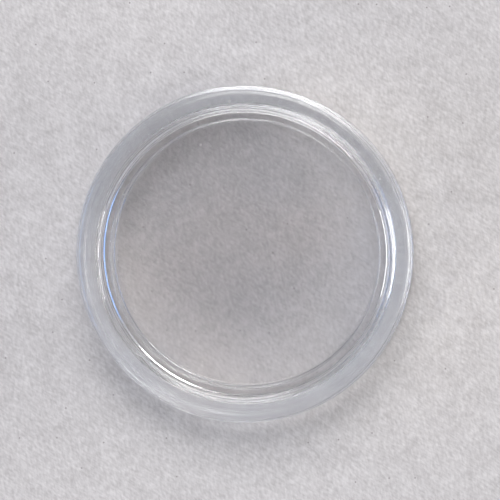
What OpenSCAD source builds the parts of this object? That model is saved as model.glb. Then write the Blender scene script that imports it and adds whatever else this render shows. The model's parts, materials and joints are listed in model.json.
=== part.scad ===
// Round coin capsule: a base with an upstanding seat wall that holds one coin, and a lid whose skirt
// drops over that wall. Millimetres, +Z up, origin at the centre of the face the capsule rests on.

/* [Capsule] */
// Outer diameter of the closed capsule
outer_d = 30.5; // [29.9:0.1:33]
// Height of the closed capsule
height = 6.0; // [5.6:0.1:8]
// Radius of the outer corner at the top rim and at the foot
corner_r = 0.88; // [0.5:0.02:1]

/* [Coin seat] */
// Diameter of the seat that the coin drops into
seat_d = 24.5; // [24:0.1:24.9]
// Height of the room between the two windows
room_h = 2.8; // [2.4:0.1:3]
// Thickness of the seat wall
wall_t = 1.2; // [1:0.05:1.25]
// Gap between the top of the seat wall and the lid's window
wall_top_gap = 0.2; // [0.1:0.05:0.4]
// Radius of the fillet at the foot of the seat wall, inside
seat_fillet = 0.25; // [0.1:0.05:0.3]

/* [Windows] */
// Thickness of each window
window_t = 0.9; // [0.7:0.05:1]
// Diameter of the recess that each window lies in
recess_d = 26.7; // [26.3:0.1:26.8]
// Radius of the cove between the window and the wall of its recess
cove_r = 0.55; // [0.3:0.05:0.55]

/* [Closure] */
// Height of the seam between base and lid
seam_z = 2.4; // [2:0.1:2.6]
// Depth of the V that the seam leaves in the outer wall
seam_chamfer = 0.18; // [0.1:0.02:0.3]
// Axial gap left at the seam
seam_gap = 0.03; // [0.02:0.01:0.05]
// Radial clearance between the seat wall and the lid's skirt
wall_clearance = 0.1; // [0.08:0.01:0.15]
// How far the grip band stands out of the seat wall
grip_h = 0.06; // [0.02:0.01:0.07]
// Length of the grip band along the wall
grip_l = 0.7; // [0.5:0.1:0.8]

/* [Hidden] */
$fn = 96;

CLEAR_PLASTIC = [0.80, 0.85, 0.90, 0.45];

outer_r = outer_d / 2;
seat_r = seat_d / 2;
wall_r = seat_r + wall_t;
skirt_r = wall_r + wall_clearance;
recess_r = recess_d / 2;

// How far each window lies below the rim that protects it
recess_h = (height - room_h) / 2 - window_t;
floor_z = recess_h + window_t;
ceiling_z = floor_z + room_h;
wall_top_z = ceiling_z - wall_top_gap;

rim_chamfer = 0.1;
wall_lead_in = 0.3;
skirt_lead_in = 0.2;
grip_slope = 0.1;
grip_z = (seam_z + wall_top_z - wall_lead_in) / 2;
ARC_STEPS = 6;

// Points of an arc about centre, from one angle to another
function arc(centre, r, from, to) = [
    for (i = [0 : ARC_STEPS])
        let (a = from + (to - from) * i / ARC_STEPS)
            [centre[0] + r * cos(a), centre[1] + r * sin(a)]
];

// The same outline turned upside down inside a height h
function flipped(points, h) = [for (p = points) [p[0], h - p[1]]];

// Outline of a window's outer face, the recess around it, the rim and its outer corner,
// from the axis outwards, with the rim at height 0
function rim_outline() = concat(
    [[0, recess_h]],
    arc([recess_r - cove_r, recess_h - cove_r], cove_r, 90, 0),
    [[recess_r, rim_chamfer]],
    [[recess_r + rim_chamfer, 0]],
    arc([outer_r - corner_r, corner_r], corner_r, -90, 0)
);

// Outer face of the seat wall, from the seam up to its lead-in: a slim wall with one raised grip band
function wall_outline() = [
    [wall_r, seam_z],
    [wall_r, grip_z - grip_l / 2 - grip_slope],
    [wall_r + grip_h, grip_z - grip_l / 2],
    [wall_r + grip_h, grip_z + grip_l / 2],
    [wall_r, grip_z + grip_l / 2 + grip_slope],
    [wall_r, wall_top_z - wall_lead_in],
    [wall_r - wall_lead_in / 2, wall_top_z]
];

// Lower half: foot, window, flange and the seat wall that holds the coin
module capsule_base()
{
    color(CLEAR_PLASTIC)
        rotate_extrude()
            polygon(concat(
                rim_outline(),
                [[outer_r, seam_z - seam_chamfer]],
                [[outer_r - seam_chamfer, seam_z]],
                wall_outline(),
                [[seat_r + rim_chamfer, wall_top_z]],
                [[seat_r, wall_top_z - rim_chamfer]],
                arc([seat_r - seat_fillet, floor_z + seat_fillet], seat_fillet, 0, -90),
                [[0, floor_z]]
            ));
}

// Upper half: window, raised rim and the skirt that slides over the seat wall
module capsule_lid()
{
    skirt_z = seam_z + seam_gap;
    color(CLEAR_PLASTIC)
        rotate_extrude()
            polygon(concat(
                flipped(rim_outline(), height),
                [[outer_r, skirt_z + seam_chamfer]],
                [[outer_r - seam_chamfer, skirt_z]],
                [[skirt_r + skirt_lead_in, skirt_z]],
                [[skirt_r, skirt_z + skirt_lead_in]],
                [[skirt_r, ceiling_z]],
                [[0, ceiling_z]]
            ));
}

capsule_base();
capsule_lid();
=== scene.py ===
"""A clear coin capsule: two moulded halves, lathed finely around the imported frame, on a pale floor."""

import json
import math
import random

import bpy
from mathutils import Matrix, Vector


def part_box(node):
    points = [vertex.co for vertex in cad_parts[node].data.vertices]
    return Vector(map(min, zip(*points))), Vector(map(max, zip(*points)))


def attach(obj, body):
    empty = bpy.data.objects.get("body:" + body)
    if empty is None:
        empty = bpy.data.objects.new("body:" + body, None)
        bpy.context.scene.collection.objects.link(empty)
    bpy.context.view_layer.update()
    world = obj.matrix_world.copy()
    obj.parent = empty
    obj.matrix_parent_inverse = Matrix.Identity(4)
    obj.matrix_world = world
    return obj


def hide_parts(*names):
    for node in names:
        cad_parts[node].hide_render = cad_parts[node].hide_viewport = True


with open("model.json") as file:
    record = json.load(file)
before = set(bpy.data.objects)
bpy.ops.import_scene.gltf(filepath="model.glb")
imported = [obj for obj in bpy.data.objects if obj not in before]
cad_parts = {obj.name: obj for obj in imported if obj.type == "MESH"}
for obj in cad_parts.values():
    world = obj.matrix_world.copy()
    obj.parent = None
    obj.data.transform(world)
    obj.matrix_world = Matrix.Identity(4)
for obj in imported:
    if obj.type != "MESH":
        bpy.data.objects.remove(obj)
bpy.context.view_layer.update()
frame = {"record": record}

MM = 0.001


# ---------------------------------------------------------------- dimensions in millimetres


def mount(name):
    """One of the record's mounts, by name."""
    return next(m for m in frame["record"]["mounts"] if m["name"] == name)


base_low, base_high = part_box("capsule_base")
lid_low, lid_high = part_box("capsule_lid")

OUTER_R = mount("outer_wall")["dims"]["r_mm"]
SEAT_R = mount("coin_seat")["dims"]["r_mm"]
HEIGHT = lid_high.z / MM
WALL_TOP_Z = base_high.z / MM
SKIRT_Z = lid_low.z / MM

# Windows, the room between them, and the recess that each one lies in
ROOM_H = 2.8
WINDOW_T = 0.9
RECESS_R = 13.35
RECESS_H = (HEIGHT - ROOM_H) / 2 - WINDOW_T
FLOOR_Z = RECESS_H + WINDOW_T
CEILING_Z = FLOOR_Z + ROOM_H
WINDOW_FILLET = 0.55
SEAT_FILLET = 0.25
RIM_CHAMFER = 0.1
CORNER_R = 0.88

# Seam, and the seat wall that the lid's skirt slides over
SEAM_GAP = 0.03
SEAM_Z = SKIRT_Z - SEAM_GAP
SEAM_CHAMFER = 0.18
WALL_R = SEAT_R + 1.2
SKIRT_R = WALL_R + 0.1
WALL_LEAD_IN = 0.3
SKIRT_LEAD_IN = 0.2
GRIP_H = 0.06
GRIP_L = 0.7
GRIP_SLOPE = 0.1
GRIP_Z = (SEAM_Z + WALL_TOP_Z - WALL_LEAD_IN) / 2

# Edge radii of the mouldings
CRISP = 0.04
SOFT = 0.09

# Slack for comparing a place on the mesh with a dimension
SLACK = 0.01


# ---------------------------------------------------------------- outlines

# Largest turn between neighbouring points of a rounded corner, in degrees
STEP_DEG = 9


def unit(r, z):
    """The direction of (r, z), at length 1."""
    length = math.hypot(r, z)
    return (r / length, z / length)


def corner_arc(before, corner, after):
    """Points and outward normals of one rounded corner, between its two neighbours."""
    r, z, radius = corner
    d_in = unit(r - before[0], z - before[1])
    d_out = unit(after[0] - r, after[1] - z)
    turn = math.atan2(
        d_in[0] * d_out[1] - d_in[1] * d_out[0],
        d_in[0] * d_out[0] + d_in[1] * d_out[1],
    )
    side = 1 if turn > 0 else -1
    trim = radius * math.tan(abs(turn) / 2)
    start = (r - d_in[0] * trim, z - d_in[1] * trim)
    centre = (start[0] - side * d_in[1] * radius, start[1] + side * d_in[0] * radius)
    steps = max(2, math.ceil(abs(math.degrees(turn)) / STEP_DEG))
    heading = math.atan2(d_in[1], d_in[0])
    points = []
    for k in range(steps + 1):
        a = heading + turn * k / steps
        nr, nz = math.sin(a), -math.cos(a)
        points.append((centre[0] + side * nr * radius, centre[1] + side * nz * radius, nr, nz))
    return points


def rounded(corners):
    """Points and outward normals of an outline whose corners (r, z, radius) are rounded.
    The outline runs counter-clockwise in the r-z plane, from the axis back to the axis."""
    points = [(*corners[0][:2], 0.0, -1.0)]
    for before, corner, after in zip(corners, corners[1:], corners[2:]):
        points += corner_arc(before, corner, after)
    points.append((*corners[-1][:2], 0.0, 1.0))
    return points


def rim_corners():
    """Window's outer face, recess, rim and outer corner, from the axis outwards, with the rim at 0."""
    return [
        (0, RECESS_H, 0),
        (RECESS_R, RECESS_H, WINDOW_FILLET),
        (RECESS_R, 0, RIM_CHAMFER),
        (OUTER_R, 0, CORNER_R),
    ]


def flipped(corners):
    """The same corners turned upside down inside the capsule's height."""
    return [(r, HEIGHT - z, radius) for r, z, radius in corners]


def base_corners():
    """Lower half: foot, flange, the seat wall with its grip band, and the window's inner face."""
    return [
        *rim_corners(),
        (OUTER_R, SEAM_Z - SEAM_CHAMFER, SOFT),
        (OUTER_R - SEAM_CHAMFER, SEAM_Z, CRISP),
        (WALL_R, SEAM_Z, CRISP),
        (WALL_R, GRIP_Z - GRIP_L / 2 - GRIP_SLOPE, CRISP),
        (WALL_R + GRIP_H, GRIP_Z - GRIP_L / 2, CRISP),
        (WALL_R + GRIP_H, GRIP_Z + GRIP_L / 2, CRISP),
        (WALL_R, GRIP_Z + GRIP_L / 2 + GRIP_SLOPE, CRISP),
        (WALL_R, WALL_TOP_Z - WALL_LEAD_IN, SOFT),
        (WALL_R - WALL_LEAD_IN / 2, WALL_TOP_Z, SOFT),
        (SEAT_R, WALL_TOP_Z, RIM_CHAMFER),
        (SEAT_R, FLOOR_Z, SEAT_FILLET),
        (0, FLOOR_Z, 0),
    ]


def lid_corners():
    """Upper half: window, raised rim and the skirt that slides over the seat wall."""
    from_the_top = [
        *flipped(rim_corners()),
        (OUTER_R, SKIRT_Z + SEAM_CHAMFER, SOFT),
        (OUTER_R - SEAM_CHAMFER, SKIRT_Z, CRISP),
        (SKIRT_R + SKIRT_LEAD_IN, SKIRT_Z, CRISP),
        (SKIRT_R, SKIRT_Z + SKIRT_LEAD_IN, CRISP),
        (SKIRT_R, CEILING_Z, SOFT),
        (0, CEILING_Z, 0),
    ]
    return from_the_top[::-1]


# ---------------------------------------------------------------- drag marks

SEGMENTS = 720
TURN = 2 * math.pi

# Height of the ripple that the tool drew into the coves
DRAG_DEPTH = 0.002
# Where it is: up the cove and the recess's wall, off the window's flat
DRAG_R = (RECESS_R - WINDOW_FILLET + 0.08, RECESS_R + SLACK)
DRAG_H = RECESS_H - 0.05
# Its ripples and the slow swells in its strength: how many there are, and their waves in one turn
RIPPLE_COUNT = 14
RIPPLE_WAVES = (110, 260)
SWELL_COUNT = 5
SWELL_WAVES = (2, 9)


def drag_table(seed):
    """Radial height and slope of the drag marks at each segment."""
    rng = random.Random(seed)
    ripples = [
        (rng.randint(*RIPPLE_WAVES), rng.uniform(0, TURN), rng.uniform(0.4, 1))
        for _ in range(RIPPLE_COUNT)
    ]
    swells = [(rng.randint(*SWELL_WAVES), rng.uniform(0, TURN)) for _ in range(SWELL_COUNT)]
    total = math.sqrt(sum(size * size for _, _, size in ripples))
    table = []
    for i in range(SEGMENTS):
        a = TURN * i / SEGMENTS
        strength = 0.5 + 0.5 * math.sin(sum(math.sin(n * a + phase) for n, phase in swells))
        strength *= DRAG_DEPTH / total
        height = sum(size * math.sin(n * a + phase) for n, phase, size in ripples)
        slope = sum(size * n * math.cos(n * a + phase) for n, phase, size in ripples)
        table.append((strength * height, strength * slope))
    return table


def drag_marks(seed):
    """A wave for lathe(): fine uneven ripples round the coves, left by the tool."""
    table = drag_table(seed)

    def wave(i, r, z):
        if DRAG_R[0] < r < DRAG_R[1] and min(z, HEIGHT - z) < DRAG_H:
            return table[i]
        return 0.0, 0.0

    return wave


# ---------------------------------------------------------------- lathed mouldings


def lathe_points(outline, wave):
    """Points in metres and exact normals of a turned outline that starts and ends on the axis."""
    verts = [(0, 0, outline[0][1] * MM)]
    normals = [(0, 0, -1)]
    for r, z, nr, nz in outline[1:-1]:
        for i in range(SEGMENTS):
            a = TURN * i / SEGMENTS
            ripple, slope = wave(i, r, z)
            c, s = math.cos(a), math.sin(a)
            verts.append(((r + ripple) * MM * c, (r + ripple) * MM * s, z * MM))
            n = Vector((nr * c, nr * s, nz)) - Vector((-s, c, 0)) * nr * slope / r
            normals.append(tuple(n.normalized()))
    verts.append((0, 0, outline[-1][1] * MM))
    normals.append((0, 0, 1))
    return verts, normals


def lathe_faces(rings):
    """Faces of a turned outline: a fan at each end on the axis, and bands between the rings."""
    last = 1 + rings * SEGMENTS
    top = last - SEGMENTS
    faces = []
    for j in range(SEGMENTS):
        k = (j + 1) % SEGMENTS
        faces.append((0, 1 + k, 1 + j))
        faces.append((last, top + j, top + k))
    for i in range(rings - 1):
        lower = 1 + i * SEGMENTS
        upper = lower + SEGMENTS
        for j in range(SEGMENTS):
            k = (j + 1) % SEGMENTS
            faces.append((lower + j, lower + k, upper + k, upper + j))
    return faces


def handled(place):
    """Whether a place is on the rim, the foot or the outer wall, where fingers and tables touch."""
    r = math.hypot(place.x, place.y) / MM
    z = place.z / MM
    outside = min(z, HEIGHT - z) < CORNER_R or r > OUTER_R - SLACK
    return r > RECESS_R + RIM_CHAMFER - SLACK and outside


def lathe(name, corners, wave):
    """A closed solid of revolution. wave(i, r, z) is a small radial ripple and its slope.
    Faces have material 1 where the piece is handled, and 0 elsewhere."""
    outline = rounded(corners)
    verts, normals = lathe_points(outline, wave)
    mesh = bpy.data.meshes.new(name)
    mesh.from_pydata(verts, [], lathe_faces(len(outline) - 2))
    mesh.update()
    mesh.shade_smooth()
    for face in mesh.polygons:
        face.material_index = 1 if handled(face.center) else 0
    mesh.normals_split_custom_set_from_vertices(normals)
    piece = bpy.data.objects.new(name, mesh)
    bpy.context.scene.collection.objects.link(piece)
    return piece


# ---------------------------------------------------------------- nodes


def node(tree, kind, inputs=(), **settings):
    """A node with its settings and the values of its sockets."""
    made = tree.nodes.new(kind)
    for key, value in settings.items():
        setattr(made, key, value)
    for key, value in dict(inputs).items():
        made.inputs[key].default_value = value
    return made


def millimetres(tree, stretch=(1, 1, 1), turn=0, shift=(0, 0, 0)):
    """Object coordinates in millimetres, turned about Z and stretched. The shift is in metres."""
    coords = node(tree, "ShaderNodeTexCoord")
    turned = node(tree, "ShaderNodeMapping", {"Rotation": (0, 0, math.radians(turn)), "Location": shift})
    scaled = node(tree, "ShaderNodeMapping", {"Scale": [v / MM for v in stretch]})
    tree.links.new(coords.outputs["Object"], turned.inputs["Vector"])
    tree.links.new(turned.outputs["Vector"], scaled.inputs["Vector"])
    return scaled.outputs["Vector"]


def axes(tree, vector):
    """The three parts of a vector, by the names X, Y and Z."""
    made = node(tree, "ShaderNodeSeparateXYZ")
    tree.links.new(vector, made.inputs["Vector"])
    return made.outputs


def noise(tree, vector, scale, detail=2, roughness=0.5):
    """Noise from 0 to 1, mostly near 0.5."""
    made = node(tree, "ShaderNodeTexNoise", {"Scale": scale, "Detail": detail, "Roughness": roughness})
    tree.links.new(vector, made.inputs["Vector"])
    return made.outputs["Fac"]


def spread(tree, source, low, high, to_low=0.0, to_high=1.0):
    """The source's range from low to high, carried to a new range and clamped there."""
    made = node(tree, "ShaderNodeMapRange", {1: low, 2: high, 3: to_low, 4: to_high})
    tree.links.new(source, made.inputs["Value"])
    return made.outputs["Result"]


def maths(tree, operation, one, two):
    """A sum on two values, each one a number or another node's output."""
    made = node(tree, "ShaderNodeMath", operation=operation)
    for socket, value in zip(made.inputs, (one, two)):
        if isinstance(value, (int, float)):
            socket.default_value = value
        else:
            tree.links.new(value, socket)
    return made.outputs["Value"]


def blend(tree, factor, one, two):
    """A mix of two colours, each one a tuple or another node's output."""
    made = node(tree, "ShaderNodeMix", data_type="RGBA")
    tree.links.new(factor, made.inputs[0])
    for socket, value in ((made.inputs[6], one), (made.inputs[7], two)):
        if isinstance(value, tuple):
            socket.default_value = value
        else:
            tree.links.new(value, socket)
    return made.outputs[2]


def bump(tree, height, strength, distance_mm):
    """A normal bent by a height map that is distance_mm deep."""
    made = node(tree, "ShaderNodeBump", {"Strength": strength, "Distance": distance_mm * MM})
    tree.links.new(height, made.inputs["Height"])
    return made.outputs["Normal"]


def new_material(name):
    """A material, its node tree and its shader's sockets."""
    mat = bpy.data.materials.new(name)
    mat.use_nodes = True
    return mat, mat.node_tree, mat.node_tree.nodes["Principled BSDF"].inputs


# ---------------------------------------------------------------- surface detail

# Specks of dust on the plastic: cells in a millimetre, radius in cells, share of the cells left empty
DUST = (0.55, 0.07, 0.5)
# Specks in the paper, in the same units
PAPER_SPECKS = (0.3, 0.03, 0.62)

# Scale of a scratch along itself and across, in a millimetre, and the peaks of the noise that it keeps
SCRATCH_ALONG = 0.09
SCRATCH_ACROSS = 3.2
SCRATCH_PEAKS = (0.7, 0.76)
# The two directions that scratches run in, in degrees
SCRATCH_TURNS = (24, 118)

# Scale of the tool's rings across themselves and along, in a millimetre
RING_ACROSS = 3.2
RING_ALONG = 0.07


def specks(tree, scale, size, rarity, seed, dimensions="3D"):
    """Round specks in scattered cells: 1 inside a speck, 0 elsewhere."""
    cells = node(
        tree,
        "ShaderNodeTexVoronoi",
        {"Scale": scale, "Randomness": 1},
        voronoi_dimensions=dimensions,
    )
    tree.links.new(millimetres(tree, shift=(seed * MM, 0, 0)), cells.inputs["Vector"])
    dots = spread(tree, cells.outputs["Distance"], size, size * 0.5)
    chosen = maths(tree, "GREATER_THAN", cells.outputs["Color"], rarity)
    return maths(tree, "MULTIPLY", dots, chosen)


def hairlines(tree, turn, seed):
    """Thin straight scratches in one direction: long stretched noise, kept only at its peaks."""
    stretch = (SCRATCH_ALONG, SCRATCH_ACROSS, SCRATCH_ALONG)
    lines = noise(tree, millimetres(tree, stretch, turn, (seed * MM, seed * MM, 0)), 1, 0)
    return spread(tree, lines, *SCRATCH_PEAKS)


def outer_faces(tree):
    """1 on the windows' outer faces and in their recesses, 0 on the walls and inside the capsule."""
    height = maths(tree, "SUBTRACT", axes(tree, millimetres(tree))["Z"], HEIGHT / 2)
    limit = HEIGHT / 2 - RECESS_H - 2 * SLACK
    return maths(tree, "GREATER_THAN", maths(tree, "ABSOLUTE", height, 0), limit)


def tool_rings(tree, seed):
    """Fine rings round the axis, broken up along their length, as turned in the mould and scuffed since."""
    place = axes(tree, millimetres(tree))
    squared = [maths(tree, "POWER", place[axis], 2.0) for axis in ("X", "Y")]
    radius = maths(tree, "SQRT", maths(tree, "ADD", *squared), 0)
    drawn = node(tree, "ShaderNodeCombineXYZ")
    outline = maths(tree, "ADD", radius, place["Z"])
    tree.links.new(maths(tree, "MULTIPLY", outline, RING_ACROSS), drawn.inputs["Z"])
    tree.links.new(maths(tree, "MULTIPLY", place["X"], RING_ALONG), drawn.inputs["X"])
    sideways = maths(tree, "MULTIPLY", place["Y"], RING_ALONG)
    tree.links.new(maths(tree, "ADD", sideways, seed), drawn.inputs["Y"])
    return noise(tree, drawn.outputs["Vector"], 1, 1)


# ---------------------------------------------------------------- materials

POLYSTYRENE_IOR = 1.59

# Share of light that passes a surface instead of being scattered by it
WINDOW_CLARITY = 1
RIM_CLARITY = 0.88
# Least and most roughness of the polished and of the handled surfaces
WINDOW_HAZE = (0.012, 0.045)
RIM_HAZE = (0.11, 0.19)
# The two casts that each of them varies between
WINDOW_CASTS = ((0.985, 0.98, 0.98, 1), (0.965, 0.967, 0.974, 1))
RIM_CASTS = ((0.955, 0.965, 0.985, 1), (0.935, 0.955, 0.985, 1))

# What each kind of mark adds to the roughness
DUST_HAZE = 0.35
SCRATCH_HAZE = 0.09
RING_HAZE = 0.07
# Depth of the marks
SCRATCH_DEPTH = 0.003
RING_DEPTH = 0.011
FELT_DEPTH = 0.05

DUST_COLOUR = (0.35, 0.32, 0.32, 1)
PAPER_DARK = (0.45, 0.432, 0.432, 1)
PAPER_PALE = (0.65, 0.632, 0.632, 1)
PAPER_SPECK = (0.3, 0.28, 0.28, 1)


def clear_plastic(name, seed, clarity, haze, casts):
    """Clear polystyrene with a faint cast, handling haze and fine dust.
    Returns the material, its tree and sockets, the patches of haze and the roughness."""
    mat, tree, sockets = new_material(name)
    sockets["Transmission Weight"].default_value = clarity
    sockets["IOR"].default_value = POLYSTYRENE_IOR
    cast = noise(tree, millimetres(tree, shift=(seed * MM, 0, 0)), 0.12, 0)
    tint = blend(tree, spread(tree, cast, 0.35, 0.65), *casts)
    dust = specks(tree, *DUST, seed * 7)
    tree.links.new(blend(tree, dust, tint, DUST_COLOUR), sockets["Base Color"])
    patches = noise(tree, millimetres(tree, shift=(0, seed * MM, 0)), 0.2, 2)
    handling = spread(tree, patches, 0.35, 0.7, *haze)
    rough = maths(tree, "ADD", handling, maths(tree, "MULTIPLY", dust, DUST_HAZE))
    return mat, tree, sockets, patches, rough


def window_plastic(name, seed):
    """The polished windows and walls, with patches of hairline scratches."""
    mat, tree, sockets, patches, rough = clear_plastic(
        name, seed, WINDOW_CLARITY, WINDOW_HAZE, WINDOW_CASTS
    )
    first, second = SCRATCH_TURNS
    lines = maths(tree, "MAXIMUM", hairlines(tree, first, seed), hairlines(tree, second, seed + 5))
    where = maths(tree, "MULTIPLY", outer_faces(tree), spread(tree, patches, 0.42, 0.55))
    scratches = maths(tree, "MULTIPLY", lines, where)
    scuffed = maths(tree, "MULTIPLY", scratches, SCRATCH_HAZE)
    tree.links.new(maths(tree, "ADD", rough, scuffed), sockets["Roughness"])
    tree.links.new(bump(tree, scratches, 0.25, -SCRATCH_DEPTH), sockets["Normal"])
    return mat


def rim_plastic(name, seed):
    """The handled rim, foot and outer wall: slightly milky, with fine rings from the mould."""
    mat, tree, sockets, _, rough = clear_plastic(name, seed, RIM_CLARITY, RIM_HAZE, RIM_CASTS)
    rings = tool_rings(tree, seed)
    worn = spread(tree, rings, 0.45, 0.65, 0, RING_HAZE)
    tree.links.new(maths(tree, "ADD", rough, worn), sockets["Roughness"])
    tree.links.new(bump(tree, rings, 1, RING_DEPTH), sockets["Normal"])
    return mat


def floor_paper():
    """Pale uncoated paper: cloudy, felted with short fibres, with a few dark specks."""
    mat, tree, sockets = new_material("floor_paper")
    clouds = noise(tree, millimetres(tree), 0.5, 3, 0.6)
    fibres = maths(
        tree,
        "ADD",
        noise(tree, millimetres(tree, (1.5, 4.6, 1), 33), 1, 2, 0.6),
        noise(tree, millimetres(tree, (4.0, 1.4, 1), -12), 1, 2, 0.6),
    )
    fine = maths(tree, "MULTIPLY", fibres, 0.65)
    felt = maths(tree, "ADD", fine, maths(tree, "MULTIPLY", clouds, 0.45))
    colour = blend(tree, spread(tree, felt, 0.65, 1.1), PAPER_DARK, PAPER_PALE)
    dots = specks(tree, *PAPER_SPECKS, 3, "2D")
    tree.links.new(blend(tree, dots, colour, PAPER_SPECK), sockets["Base Color"])
    sockets["Roughness"].default_value = 0.9
    tree.links.new(bump(tree, felt, 0.4, FELT_DEPTH), sockets["Normal"])
    return mat


# ---------------------------------------------------------------- the capsule


def add_half(name, corners, seed, body, node_name, slot):
    """One moulding of the capsule, riding its body in place of its CAD solid."""
    half = lathe(name, corners, drag_marks(seed))
    half.data.materials.append(window_plastic(slot + "_clear", seed))
    half.data.materials.append(rim_plastic(slot + "_rim", seed + 2))
    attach(half, body)
    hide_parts(node_name)


# ---------------------------------------------------------------- floor, room, lights and camera

# Metres, from here on
FLOOR_SIZE = 2
# The floor lies this far under the foot, so that the two don't touch
FLOOR_GAP = 0.02 * MM

WALL_WHITE = (1, 0.98, 0.98, 1)
WALL_BLUE = (0.4, 0.5, 0.7, 1)
ROOM_LEVEL = 0.6
# Where the walls turn blue towards -X, and where they dim towards -Y, as parts of a unit outlook
BLUE_X = (-0.45, -0.75)
DIM_Y = (-0.3, -0.7)
DIM_LEVEL = 0.15

# Azimuth and elevation of the dark camera and the hand beside it, as the windows reflect them
CAMERA_SHADE = (206, 83.8)
HAND_SHADE = (186, 83)
# Radii of their soft edge, and the level of the room inside it
SHADE_EDGE = (0.036, 0.058)
SHADE_LEVEL = 0.1

LAMP_DISTANCE = 0.5
# Name, azimuth, elevation, width and height, radiance, colour
LIGHTS = (
    ("key", 88, 54, (0.3, 0.3), 4.9, (1, 0.985, 0.975)),
    ("window", 357, 14, (0.34, 0.07), 20, (1, 0.99, 0.97)),
    ("lamp", 233, 20, (0.2, 0.1), 11, (1, 0.99, 0.98)),
    ("lamp_glow", 235, 30, (0.4, 0.12), 1.5, (1, 0.98, 0.98)),
    ("blue_card", 184, 16, (0.42, 0.22), 1.4, (0.1, 0.38, 1.0)),
)

# The camera looks down steeply, from a little towards +X and +Y. FIELD is the width of its view.
CAMERA_DISTANCE = 0.2
CAMERA_AZIMUTH = 32
CAMERA_ELEVATION = 84
FIELD = 0.045155
TARGET = Vector((0.000576, 0.000441, 0.005))
SENSOR_WIDTH_MM = 36


def direction(azimuth, elevation):
    """Unit vector at angles in degrees. Azimuth is counter-clockwise from +X."""
    a, e = math.radians(azimuth), math.radians(elevation)
    return Vector((math.cos(a) * math.cos(e), math.sin(a) * math.cos(e), math.sin(e)))


def add_floor():
    """A wide sheet of paper that the capsule lies on."""
    bpy.ops.mesh.primitive_plane_add(size=FLOOR_SIZE, location=(0, 0, -FLOOR_GAP))
    floor = bpy.context.object
    floor.name = "floor"
    floor.data.materials.append(floor_paper())


def shade(tree, outlook, azimuth, elevation):
    """A dark round patch in the room, with a soft edge."""
    apart = node(tree, "ShaderNodeVectorMath", operation="DISTANCE")
    tree.links.new(outlook, apart.inputs[0])
    apart.inputs[1].default_value = direction(azimuth, elevation)
    return spread(tree, apart.outputs["Value"], *SHADE_EDGE, SHADE_LEVEL, 1)


def add_room():
    """Pale surroundings: bluish towards -X, dim towards -Y, dark overhead where the camera is."""
    world = bpy.data.worlds.new("studio")
    bpy.context.scene.world = world
    world.use_nodes = True
    tree = world.node_tree
    background = tree.nodes["Background"].inputs
    outlook = node(tree, "ShaderNodeTexCoord").outputs["Generated"]
    towards = axes(tree, outlook)
    walls = blend(tree, spread(tree, towards["X"], *BLUE_X), WALL_WHITE, WALL_BLUE)
    tree.links.new(walls, background["Color"])
    shades = [shade(tree, outlook, *place) for place in (CAMERA_SHADE, HAND_SHADE)]
    front = spread(tree, towards["Y"], *DIM_Y, 1, DIM_LEVEL)
    level = maths(tree, "MULTIPLY", maths(tree, "MINIMUM", *shades), front)
    tree.links.new(maths(tree, "MULTIPLY", level, ROOM_LEVEL), background["Strength"])


def add_light(name, azimuth, elevation, size, radiance, colour):
    """A rectangular lamp of a given width, height and brightness that faces the capsule."""
    data = bpy.data.lights.new(name, "AREA")
    data.shape = "RECTANGLE"
    data.size, data.size_y = size
    data.energy = radiance * math.pi * size[0] * size[1]
    data.color = colour
    lamp = bpy.data.objects.new(name, data)
    towards = direction(azimuth, elevation)
    lamp.location = LAMP_DISTANCE * towards
    lamp.rotation_euler = towards.to_track_quat("Z", "Y").to_euler()
    bpy.context.scene.collection.objects.link(lamp)


def add_camera():
    """The camera, tilted straight from looking down, so that +Y stays nearly upright in its view."""
    data = bpy.data.cameras.new("camera")
    data.sensor_width = SENSOR_WIDTH_MM
    data.lens = data.sensor_width * CAMERA_DISTANCE / FIELD
    data.clip_start = MM
    cam = bpy.data.objects.new("camera", data)
    towards = direction(CAMERA_AZIMUTH, CAMERA_ELEVATION)
    cam.location = TARGET + CAMERA_DISTANCE * towards
    cam.rotation_euler = Vector((0, 0, 1)).rotation_difference(towards).to_euler()
    bpy.context.scene.collection.objects.link(cam)
    bpy.context.scene.camera = cam


def set_light_paths():
    """Lets light reach the paper through both windows sharply: no blur after a soft bounce."""
    cycles = bpy.context.scene.cycles
    cycles.blur_glossy = 0
    cycles.max_bounces = 20
    cycles.transmission_bounces = 20
    cycles.glossy_bounces = 8


add_half("base_shell", base_corners(), 1, "base", "capsule_base", "base_plastic")
add_half("lid_shell", lid_corners(), 2, "lid", "capsule_lid", "lid_plastic")
add_floor()
add_room()
for light in LIGHTS:
    add_light(*light)
add_camera()
set_light_paths()
bpy.context.scene.view_settings.view_transform = "Standard"
